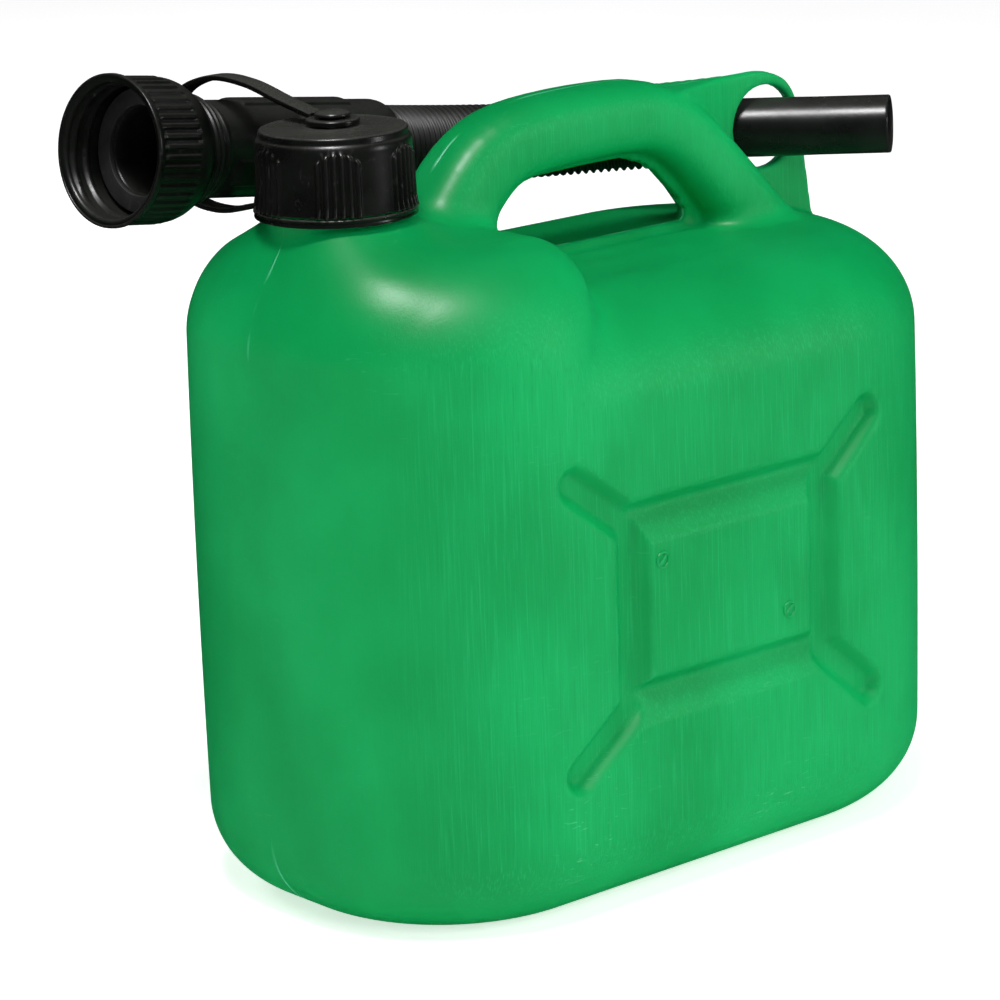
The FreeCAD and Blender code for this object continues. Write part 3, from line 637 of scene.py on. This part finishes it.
def vent_mark(name, x, z, turn):
    """Small raised ring with a slot across it, left by a vent plug in the mould."""
    ring = [(2.75, 0.0), (2.65, 0.45), (2.35, 0.58), (2.05, 0.45), (1.95, 0.0)]
    count = 40
    verts = []
    for r, up in ring:
        for k in range(count):
            a = k * 2 * math.pi / count
            verts.append((r * math.cos(a), r * math.sin(a), up))
    for side, up in ((-0.5, 0.0), (-0.32, 0.5), (0.32, 0.5), (0.5, 0.0)):
        for end in (-1.9, 1.9):
            verts.append((end, side, up))
    first = len(ring) * count
    slot = [(first + i, first + i + 1, first + i + 3, first + i + 2) for i in (0, 2, 4)]
    faces = np.concatenate([ring_faces(len(ring), count, closed=False), slot])
    verts = np.array(verts)
    a = math.radians(turn)
    across = verts[:, 0] * math.cos(a) - verts[:, 1] * math.sin(a)
    upward = verts[:, 0] * math.sin(a) + verts[:, 1] * math.cos(a)
    place = np.stack([x + across, np.zeros(len(verts)), z + upward], axis=1)
    depth = np.full(len(verts), -HALF_Y - 1.0)
    for _ in range(40):
        depth = depth + outer_field(place[:, 0], depth, place[:, 2]) * 0.9
    place[:, 1] = depth + 0.06 - verts[:, 2]
    return new_mesh(name, place, faces)


def floor_material():
    """Nearly white floor that glows a little, so that it stays pale round the can."""
    mat, tree, shader = node_material("pale_floor")
    g = Graph(tree)
    wash = g.noise(g.scaled((1, 1, 1)), 3.0, 3.0)
    colour = g.blend(g.span(wash, 0.3, 0.7), (0.86, 0.86, 0.86, 1.0), (0.90, 0.90, 0.90, 1.0))
    g.link(colour, shader.inputs["Base Color"])
    shader.inputs["Roughness"].default_value = 0.9
    shader.inputs["Emission Color"].default_value = (1.0, 1.0, 1.0, 1.0)
    shader.inputs["Emission Strength"].default_value = 0.60
    return mat


GREEN = green_plastic()
CAP_BLACK = black_plastic("cap_polypropylene", (0.0036, 0.0042, 0.0036), 0.24, 0.34, 900.0, 0.10, 0.85)
SPOUT_BLACK = black_plastic("spout_polyethylene", (0.0036, 0.0044, 0.0036), 0.28, 0.40, 700.0, 0.10)
HOSE_BLACK = black_plastic("hose_polyethylene", (0.0050, 0.0056, 0.0050), 0.34, 0.50, 700.0, 0.14)
NOZZLE_BLACK = black_plastic("nozzle_polyethylene", (0.0062, 0.0072, 0.0066), 0.26, 0.36, 500.0, 0.05)
SEAL_BLACK = black_plastic("seal_rubber", (0.016, 0.016, 0.016), 0.65, 0.8, 1200.0, 0.2)


def finish_piece(obj, material, body, slot, *nodes):
    """Material, body and CAD node of one piece."""
    obj.data.materials.clear()
    obj.data.materials.append(material)
    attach(obj, body)
    if nodes:
        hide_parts(*nodes)
    return obj


# --------------------------------------------------------------- can
STEP = 1.25
INNER_STEP = 3.2
GRID = ((-132.0, -78.0, -3.0), (132.0, 78.0, 250.0))
points, quads = surface_nets(outer_field, *GRID, STEP)
points = settle(outer_field, points)
reach = length2(points[:, 0] - NECK_X, points[:, 1])
pocket = (reach < 18.2) & (inner_field(*points.T) < -0.2) & (points[:, 2] > HILL_BASE_Z)
quads = quads[~pocket[quads].all(axis=1)]
lining, lining_quads = surface_nets(inner_field, *GRID, INNER_STEP)
lining = settle(inner_field, lining)
reach = length2(lining[:, 0] - NECK_X, lining[:, 1])
mouth = (reach < NECK_BORE_R) & (lining[:, 2] > HILL_BASE_Z)
lining_quads = lining_quads[~mouth[lining_quads].all(axis=1)][:, ::-1]
points[:, 2] = np.maximum(points[:, 2], 0.0)
quads = np.concatenate([quads, lining_quads + len(points)])
points = np.concatenate([points, lining])
can = new_mesh("can_skin", points, quads)

NECK_THREAD_Z = 226.5


def neck_shape(r, z, tag, angle):
    """Thread on the neck's outside."""
    if tag == "out":
        r = r + bead(z, angle, THREAD_PITCH, NECK_THREAD_Z, 2.0, 1.1, 1.15)
    return r, z


neck_rows = lined([(20.55, 216.0, "out"), (20.55, 239.6, "out")], 0.45)
neck_rows += arc(19.55, 239.8, 1.0, 0, 90, 4, "lip")
neck_rows += arc(18.5, 239.9, 0.9, 90, 180, 4, "lip")
neck_rows += [(NECK_BORE_R, z, "in") for z in (236.0, 228.0, 216.0)]
neck = turned("can_neck", neck_rows, 200, neck_shape,
              Matrix.Translation((NECK_X, 0, 0)))

finish_piece(can, GREEN, "can", "can_plastic", "can_body")
finish_piece(neck, GREEN, "can", "can_plastic")
for name, x, z, turn in (("vent_mark_front", -29.5, 111.2, 52.0), ("vent_mark_rear", 24.9, 83.6, 40.0)):
    finish_piece(vent_mark(name, x, z, turn), GREEN, "can", "can_plastic")

# --------------------------------------------------------------- cap
CAP_LOW = 222.8
RIB_GROUPS = 6
RIB_FACING = math.radians(-126.5)
RIB_STEP = math.radians(5.8)


def cap_rib(angle, z):
    """Height of the ribs: groups of six under an arched top."""
    share = math.pi / RIB_GROUPS
    around = (angle - RIB_FACING + share) % (2 * share) - share
    group_half = RIB_STEP * 3.0
    inside = np.clip((group_half - np.abs(around)) / (RIB_STEP * 0.35), 0, 1)
    wave = np.cos(around / RIB_STEP * 2 * math.pi + math.pi) * 0.5 + 0.5
    wave = wave ** 0.8
    arch = 19.6 - 3.4 * (around / group_half) ** 2
    rise = np.clip((arch - z) / 0.9, 0, 1)
    rise = rise * rise * (3 - 2 * rise)
    flare = 1.0 + 0.55 * np.clip((3.0 - z) / 3.0, 0, 1)
    return inside * wave * rise * 0.95 * flare


def cap_shape(r, z, tag, angle):
    """Ribs on the skirt and a thread inside."""
    if tag == "skirt":
        r = r + cap_rib(angle, z)
    if tag == "inner":
        r = r - bead(z, angle, THREAD_PITCH, NECK_THREAD_Z + THREAD_PITCH / 2 - CAP_LOW, 1.6, 1.0, 1.1)
    return r, z


CAP_ROW_STEP = 0.45
cap_rows = lined([(24.4, 0.0, "skirt"), (24.35, 3.0, "skirt"), (24.15, 10.0, "skirt"),
                  (23.95, 19.4, "skirt")], CAP_ROW_STEP)
cap_rows += [(23.75, 20.4, "edge"), (23.25, 21.2, "edge"), (22.95, 21.5, "edge"), (22.85, 21.9, "edge"),
             (22.85, 22.7, "edge"), (22.7, 23.25, "edge"), (22.35, 23.6, "edge"), (21.9, 23.72, "edge"),
             (21.45, 23.66, "edge"), (21.2, 23.5, "edge")]
cap_rows += [(20.6, 23.45, "top"), (14.0, 23.5, "top"), (9.6, 23.55, "top"), (9.2, 23.8, "top"),
             (8.9, 24.0, "top"), (5.0, 24.0, "top"), (3.3, 24.05, "top")]
cap_rows += [(3.15, 24.4, "stud"), (3.15, 26.6, "stud"), (3.3, 26.85, "stud"), (5.2, 26.95, "stud"),
             (5.55, 27.15, "stud"), (5.62, 27.45, "stud"), (5.45, 27.85, "stud"), (4.9, 28.25, "stud"),
             (3.8, 28.6, "stud"), (2.2, 28.8, "stud"), (0.9, 28.84, "stud"), (0.02, 28.84, "stud")]
cap_rows += [(0.02, 21.4, "inside"), (20.0, 21.4, "inside"), (22.2, 21.4, "inside"), (22.8, 21.2, "inside")]
cap_rows += lined([(22.9, 20.8, "inner"), (22.9, 1.2, "inner"), (23.1, 0.3, "inner"), (23.4, 0.0, "inner")],
                  CAP_ROW_STEP)
cap = turned("cap_shell", cap_rows, 720, cap_shape,
             Matrix.Translation((NECK_X, 0, CAP_LOW)))
finish_piece(cap, CAP_BLACK, "cap", "cap_plastic", "cap")


def flat_ring(name, inner, outer, low, high, place, soft=0.3, count=128):
    """Ring with softened edges."""
    rows = []
    for cx, cz, start in ((outer - soft, high - soft, 0), (inner + soft, high - soft, 90),
                          (inner + soft, low + soft, 180), (outer - soft, low + soft, 270)):
        rows += arc(cx, cz, soft, start, start + 90, 3)
    return turned(name, rows, count, None, place)


seal = flat_ring("cap_liner", 16.6, 22.4, 0.0, 1.6, Matrix.Translation((NECK_X, 0, 242.6)))
finish_piece(seal, SEAL_BLACK, "cap", "seal_rubber", "cap_seal")

# --------------------------------------------------------------- tether
ring_rows = arc(24.9, 221.7, 0.45, 0, 90, 3)
ring_rows += [(23.6, 222.15, ""), (22.9, 221.9, "")]
ring_rows += arc(22.85, 221.5, 0.4, 90, 180, 3) + arc(22.85, 220.0, 0.4, 180, 270, 3)
ring_rows += arc(24.6, 220.1, 0.5, 270, 360, 3)
ring_rows += [(25.05, 220.6, ""), (24.85, 221.0, ""), (25.15, 221.3, "")]
ring = turned("tether_collar", ring_rows, 160, None, Matrix.Translation((NECK_X, 0, 0)))
finish_piece(ring, CAP_BLACK, "can", "cap_plastic", "tether_ring")

eye_rows = arc(7.6, 248.4, 0.75, -20, 90, 5) + [(5.6, 249.0, "")]
eye_rows += arc(4.2, 248.5, 0.5, 90, 180, 3) + arc(4.2, 247.8, 0.5, 180, 270, 3)
eye_rows += arc(7.7, 247.9, 0.6, 270, 350, 4)
eyelet = turned("tether_eye", eye_rows, 96, None, Matrix.Translation((NECK_X, 0, 0)))
finish_piece(eyelet, CAP_BLACK, "eyelet", "cap_plastic", "tether_eyelet")

STRAP_POINTS = [(-92.2, 7.2, 249.2), (-92.8, 22.0, 252.4), (-93.6, 38.0, 256.2), (-94.6, 54.0, 256.6),
                (-95.6, 69.0, 250.8), (-96.2, 76.6, 239.0), (-96.2, 75.4, 226.0), (-95.6, 66.5, 217.2),
                (-94.4, 52.0, 215.0), (-93.2, 38.0, 217.8), (-92.4, 24.6, 220.9)]


def smooth_line(points, steps):
    """Centripetal Catmull-Rom line through points."""
    p = [np.array(q, dtype=float) for q in points]
    p = [2 * p[0] - p[1]] + p + [2 * p[-1] - p[-2]]
    out = []
    for i in range(1, len(p) - 2):
        a, b, c, d = p[i - 1:i + 3]
        t0 = 0.0
        t1 = t0 + np.linalg.norm(b - a) ** 0.5
        t2 = t1 + np.linalg.norm(c - b) ** 0.5
        t3 = t2 + np.linalg.norm(d - c) ** 0.5
        for s in range(steps):
            t = t1 + (t2 - t1) * s / steps
            a1 = (t1 - t) / (t1 - t0) * a + (t - t0) / (t1 - t0) * b
            a2 = (t2 - t) / (t2 - t1) * b + (t - t1) / (t2 - t1) * c
            a3 = (t3 - t) / (t3 - t2) * c + (t - t2) / (t3 - t2) * d
            b1 = (t2 - t) / (t2 - t0) * a1 + (t - t0) / (t2 - t0) * a2
            b2 = (t3 - t) / (t3 - t1) * a2 + (t - t1) / (t3 - t1) * a3
            out.append((t2 - t) / (t2 - t1) * b1 + (t - t1) / (t2 - t1) * b2)
    out.append(p[-2])
    return np.array(out)


def strap_mesh():
    """Flat strap with a raised rail along each edge."""
    line = smooth_line(STRAP_POINTS, steps=12)
    tangent = np.gradient(line, axis=0)
    tangent /= np.linalg.norm(tangent, axis=1)[:, None]
    across = np.array([1.0, 0, 0]) - tangent * tangent[:, :1]
    across /= np.linalg.norm(across, axis=1)[:, None]
    over = np.cross(tangent, across)
    half, deep = 3.2, 0.95
    section = [(-half, -deep * 0.7), (-half, deep * 0.6), (-half + 0.35, deep), (-half + 1.1, deep),
               (-half + 1.5, deep * 0.35), (half - 1.5, deep * 0.35), (half - 1.1, deep), (half - 0.35, deep),
               (half, deep * 0.6), (half, -deep * 0.7), (half - 0.3, -deep), (-half + 0.3, -deep)]
    count = len(section)
    verts = []
    for p, a, o in zip(line, across, over):
        for u, v in section:
            verts.append(p + a * u + o * v)
    obj = new_mesh("tether_band", verts, ring_faces(len(line), count, closed=False))
    soft = obj.modifiers.new("soft", "SUBSURF")
    soft.levels = 1
    soft.render_levels = 1
    return obj


strap = strap_mesh()
strap.data.materials.append(CAP_BLACK)
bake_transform(strap)
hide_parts("tether_strap")

# --------------------------------------------------------------- spout
SPOUT_AT = Vector((-138.6, 51.6, 239.8))
SPOUT_AXIS = direction(5.4, -7.8)
SPOUT = frame_along(SPOUT_AT, SPOUT_AXIS)


NUT_RIBS = 44


def nut_shape(r, z, tag, angle):
    """Fine grip ribs outside and a thread inside."""
    if tag == "rib":
        wave = np.clip(np.cos(angle * NUT_RIBS) * 1.6, -1, 1)
        fade = np.clip((z - 3.0) / 1.0, 0, 1) * np.clip((18.6 - z) / 1.2, 0, 1)
        r = r + 0.34 * wave * fade
    if tag == "socket":
        r = r - bead(z, angle, THREAD_PITCH, 3.2, 1.6, 1.0, 1.1, 1.2)
    return r, z


nut_rows = arc(23.25, 0.5, 0.45, 180, 330, 4, "lip")
nut_rows += [(23.68, 0.8, "lip"), (23.7, 1.6, "lip"), (23.5, 2.1, "lip"), (23.0, 2.5, "lip"),
             (22.7, 2.8, "lip")]
nut_rows += lined([(22.6, 3.0, "rib"), (22.6, 18.8, "rib")], 0.5)
nut_rows += [(22.55, 19.6, "b"), (22.3, 21.0, "b"), (21.8, 22.6, "b"), (21.0, 24.2, "b"), (19.9, 25.8, "b"),
             (18.7, 27.0, "b"), (17.7, 27.8, "b"), (17.15, 28.5, "b"), (17.0, 29.0, "b"), (17.05, 29.4, "b"),
             (17.5, 29.7, "b"), (17.6, 30.2, "b"), (17.5, 30.7, "b"), (17.0, 31.0, "b"), (17.0, 31.4, "b"),
             (17.45, 31.7, "b"), (17.5, 32.2, "b"), (17.3, 32.65, "b"), (16.6, 32.7, "b"), (16.05, 32.5, "b"),
             (15.95, 32.0, "b"), (15.95, 24.0, "b"), (15.95, 18.2, "b"), (16.3, 18.0, "b"), (20.6, 18.0, "b")]
nut_rows += lined([(20.9, 17.8, "socket"), (20.9, 1.6, "socket"), (21.4, 0.9, "socket"),
                   (22.6, 0.45, "socket")], 0.45)
nut = turned("spout_coupling", nut_rows, 880, nut_shape, SPOUT)
finish_piece(nut, SPOUT_BLACK, "nut", "spout_plastic", "spout_nut")

inner_seal = flat_ring("spout_washer", 14.0, 19.4, 12.8, 14.6, SPOUT)
finish_piece(inner_seal, SEAL_BLACK, "spout", "seal_rubber", "spout_seal")


def raised_strip(angle, z, middle, half_wide, low, high, edge):
    """1 on a strip of the tube's wall and 0 off it: angles in degrees, edge is the ramp at its ends."""
    turn = np.abs((angle - math.radians(middle) + math.pi) % (2 * math.pi) - math.pi)
    beside = np.clip((math.radians(half_wide) - turn) / 0.05, 0, 1)
    return beside * (np.clip((z - low) / edge, 0, 1) * np.clip((high - z) / edge, 0, 1))


def tube_shape(r, z, tag, angle):
    """A long raised strip on top and a short one at the side."""
    if tag == "wall":
        r = r + 0.75 * raised_strip(angle, z, 90, 24, 50.0, 97.5, 0.7)
        r = r + 0.7 * raised_strip(angle, z, 205, 19, 41.0, 56.0, 0.6)
    return r, z


tube_rows = [(19.2, 14.62, "f"), (19.55, 14.9, "f"), (19.6, 15.4, "f"), (19.6, 17.2, "f"), (19.4, 17.7, "f"),
             (16.0, 17.8, "f"), (15.5, 18.1, "f"), (15.35, 18.6, "f"), (15.35, 34.0, "f"), (15.35, 35.4, "f"),
             (15.75, 35.8, "f"), (15.85, 36.2, "f"), (15.75, 36.6, "f"), (15.35, 37.0, "f")]
tube_rows += lined([(15.35, 38.0, "wall"), (15.35, 110.8, "wall")], 0.55)
tube_rows += [(15.3, 111.8, "e"), (15.1, 113.0, "e"), (14.6, 114.2, "e"), (13.9, 115.2, "e"),
              (13.4, 115.7, "e"), (13.0, 116.0, "e"), (12.6, 115.9, "e"), (12.5, 114.0, "e"),
              (12.8, 100.0, "e"), (13.0, 60.0, "e"), (13.1, 20.0, "e"), (13.6, 15.4, "e"), (14.2, 14.62, "e")]
tube = turned("spout_barrel", tube_rows, 320, tube_shape, SPOUT)
finish_piece(tube, SPOUT_BLACK, "spout", "spout_plastic", "spout_tube")

NOZZLE_AXIS = direction(-52.0, 1.6)
NOZZLE_AT = Vector((89.8, 0.0, 221.2)) - NOZZLE_AXIS * 20.4
HOSE_START = SPOUT_AT + SPOUT_AXIS * 115.6


HOSE_PITCH = 2.55
HOSE_START_R = 13.45
HOSE_TAPER = 1.65
RIDGE = 0.55
HOSE_WALL = 1.3


def hose_mesh():
    """Corrugated hose: rounded ridges on one smooth bend."""
    a = np.array(HOSE_START)
    d = np.array(NOZZLE_AT + NOZZLE_AXIS * 0.6)
    b = a + np.array(SPOUT_AXIS) * 88.0
    c = d - np.array(NOZZLE_AXIS) * 10.0
    t = np.linspace(0, 1, 1500)[:, None]
    fine = (1 - t) ** 3 * a + 3 * (1 - t) ** 2 * t * b + 3 * (1 - t) * t * t * c + t ** 3 * d
    run = np.concatenate([[0], np.cumsum(np.linalg.norm(np.diff(fine, axis=0), axis=1))])
    total = run[-1]
    ridges = int(round(total / HOSE_PITCH))
    per = 10
    s = np.linspace(0, total, ridges * per + 1)
    line = np.stack([np.interp(s, run, fine[:, i]) for i in range(3)], axis=1)
    share = s / total
    base = HOSE_START_R - HOSE_TAPER * share
    wave = np.cos(share * ridges * 2 * math.pi)
    wave = np.sign(wave) * np.abs(wave) ** 0.8
    outer = base - 0.62 + RIDGE * wave
    inner = outer - HOSE_WALL
    return swept("spout_bellows", line, outer, inner, 112)


hose = hose_mesh()
hose.data.materials.append(HOSE_BLACK)
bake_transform(hose)
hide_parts("spout_hose")

# The photo's nozzle is plain.
nozzle_rows = [(11.5, 0.1, ""), (11.6, 0.8, ""), (11.6, 3.4, ""), (11.3, 4.4, ""), (10.5, 5.8, ""),
               (9.95, 6.8, ""), (9.78, 8.0, ""), (9.75, 30.0, ""), (9.62, 40.0, ""), (9.6, 62.2, ""),
               (9.58, 62.9, ""), (9.4, 63.3, ""), (8.9, 63.4, ""), (8.3, 63.3, ""), (8.0, 62.8, ""),
               (7.9, 61.5, ""), (7.9, 30.0, ""), (7.9, 1.0, ""), (8.2, 0.2, ""), (9.5, 0.0, "")]
nozzle = turned("spout_tip", nozzle_rows, 160, None, frame_along(NOZZLE_AT, NOZZLE_AXIS))
finish_piece(nozzle, NOZZLE_BLACK, "nozzle", "spout_plastic", "spout_nozzle")

# --------------------------------------------------------------- stage, light and camera
bpy.ops.mesh.primitive_plane_add(size=12.0, location=(0, 0, 0))
floor = bpy.context.object
floor.name = "floor"
floor.data.materials.append(floor_material())
floor.visible_glossy = False


def softbox(name, spot, target, size, power, diffuse=True, gloss=True):
    """Rectangular area light; diffuse and gloss say which kind of light it gives."""
    light = bpy.data.lights.new(name, "AREA")
    light.shape = "RECTANGLE"
    light.size, light.size_y = size
    light.energy = power
    obj = bpy.data.objects.new(name, light)
    obj.location = spot
    obj.rotation_mode = "QUATERNION"
    obj.rotation_quaternion = (Vector(target) - Vector(spot)).to_track_quat("-Z", "Y")
    obj.visible_diffuse = diffuse
    obj.visible_glossy = gloss
    bpy.context.scene.collection.objects.link(obj)
    return obj


# Soft light and highlights come from separate lights, each set against the photo.
TOP_SPOT, TOP_TARGET = (-0.55, -0.42, 1.75), (-0.05, -0.02, 0.16)
softbox("top", TOP_SPOT, TOP_TARGET, (0.40, 0.40), 15.0, gloss=False)
softbox("top_glint", TOP_SPOT, TOP_TARGET, (0.34, 0.34), 62.0, diffuse=False)
softbox("side", (1.55, -1.15, 0.42), (0.0, 0.0, 0.12), (0.55, 1.2), 16.0, gloss=False)
softbox("side_glint", (1.05, -1.75, 0.62), (0.0, 0.0, 0.20), (0.14, 0.80), 11.0, diffuse=False)
softbox("front", (-0.8, -2.3, 1.65), (0.0, 0.0, 0.10), (1.7, 1.2), 31.0, gloss=False)
softbox("back", (-0.5, 1.7, 1.2), (0, 0, 0.18), (1.2, 0.7), 14.0, gloss=False)

world = bpy.data.worlds.new("studio")
world.use_nodes = True
world.node_tree.nodes["Background"].inputs["Color"].default_value = (1.0, 1.0, 1.0, 1.0)
world.node_tree.nodes["Background"].inputs["Strength"].default_value = 0.20
world.cycles_visibility.glossy = False
bpy.context.scene.world = world
bpy.context.scene.view_settings.view_transform = "Standard"

# camera at the photograph's viewing angle, as solved from the picture; lengths in metres
AZIMUTH, PITCH, ROLL = math.radians(-40.74), math.radians(14.84), math.radians(1.96)
RANGE, SHIFT_X, SHIFT_Y, LOOK_AT_Z = 1.3466, 0.02280, 0.00117, 0.11224
back = Vector((math.sin(AZIMUTH) * math.cos(PITCH), -math.cos(AZIMUTH) * math.cos(PITCH), math.sin(PITCH)))
level = Vector((math.cos(AZIMUTH), math.sin(AZIMUTH), 0.0))
rise = level.cross(-back)
across = level * math.cos(ROLL) - rise * math.sin(ROLL)
upward = level * math.sin(ROLL) + rise * math.cos(ROLL)
eye = Vector((0, 0, LOOK_AT_Z)) + back * RANGE - across * SHIFT_X - upward * SHIFT_Y
lens = bpy.data.cameras.new("camera")
lens.sensor_width = 36.0
lens.lens = 149.17
lens.clip_start = 0.05
lens.clip_end = 50.0
camera = bpy.data.objects.new("camera", lens)
camera.matrix_world = Matrix(((across.x, upward.x, back.x, eye.x), (across.y, upward.y, back.y, eye.y),
                              (across.z, upward.z, back.z, eye.z), (0, 0, 0, 1)))
bpy.context.scene.collection.objects.link(camera)
bpy.context.scene.camera = camera
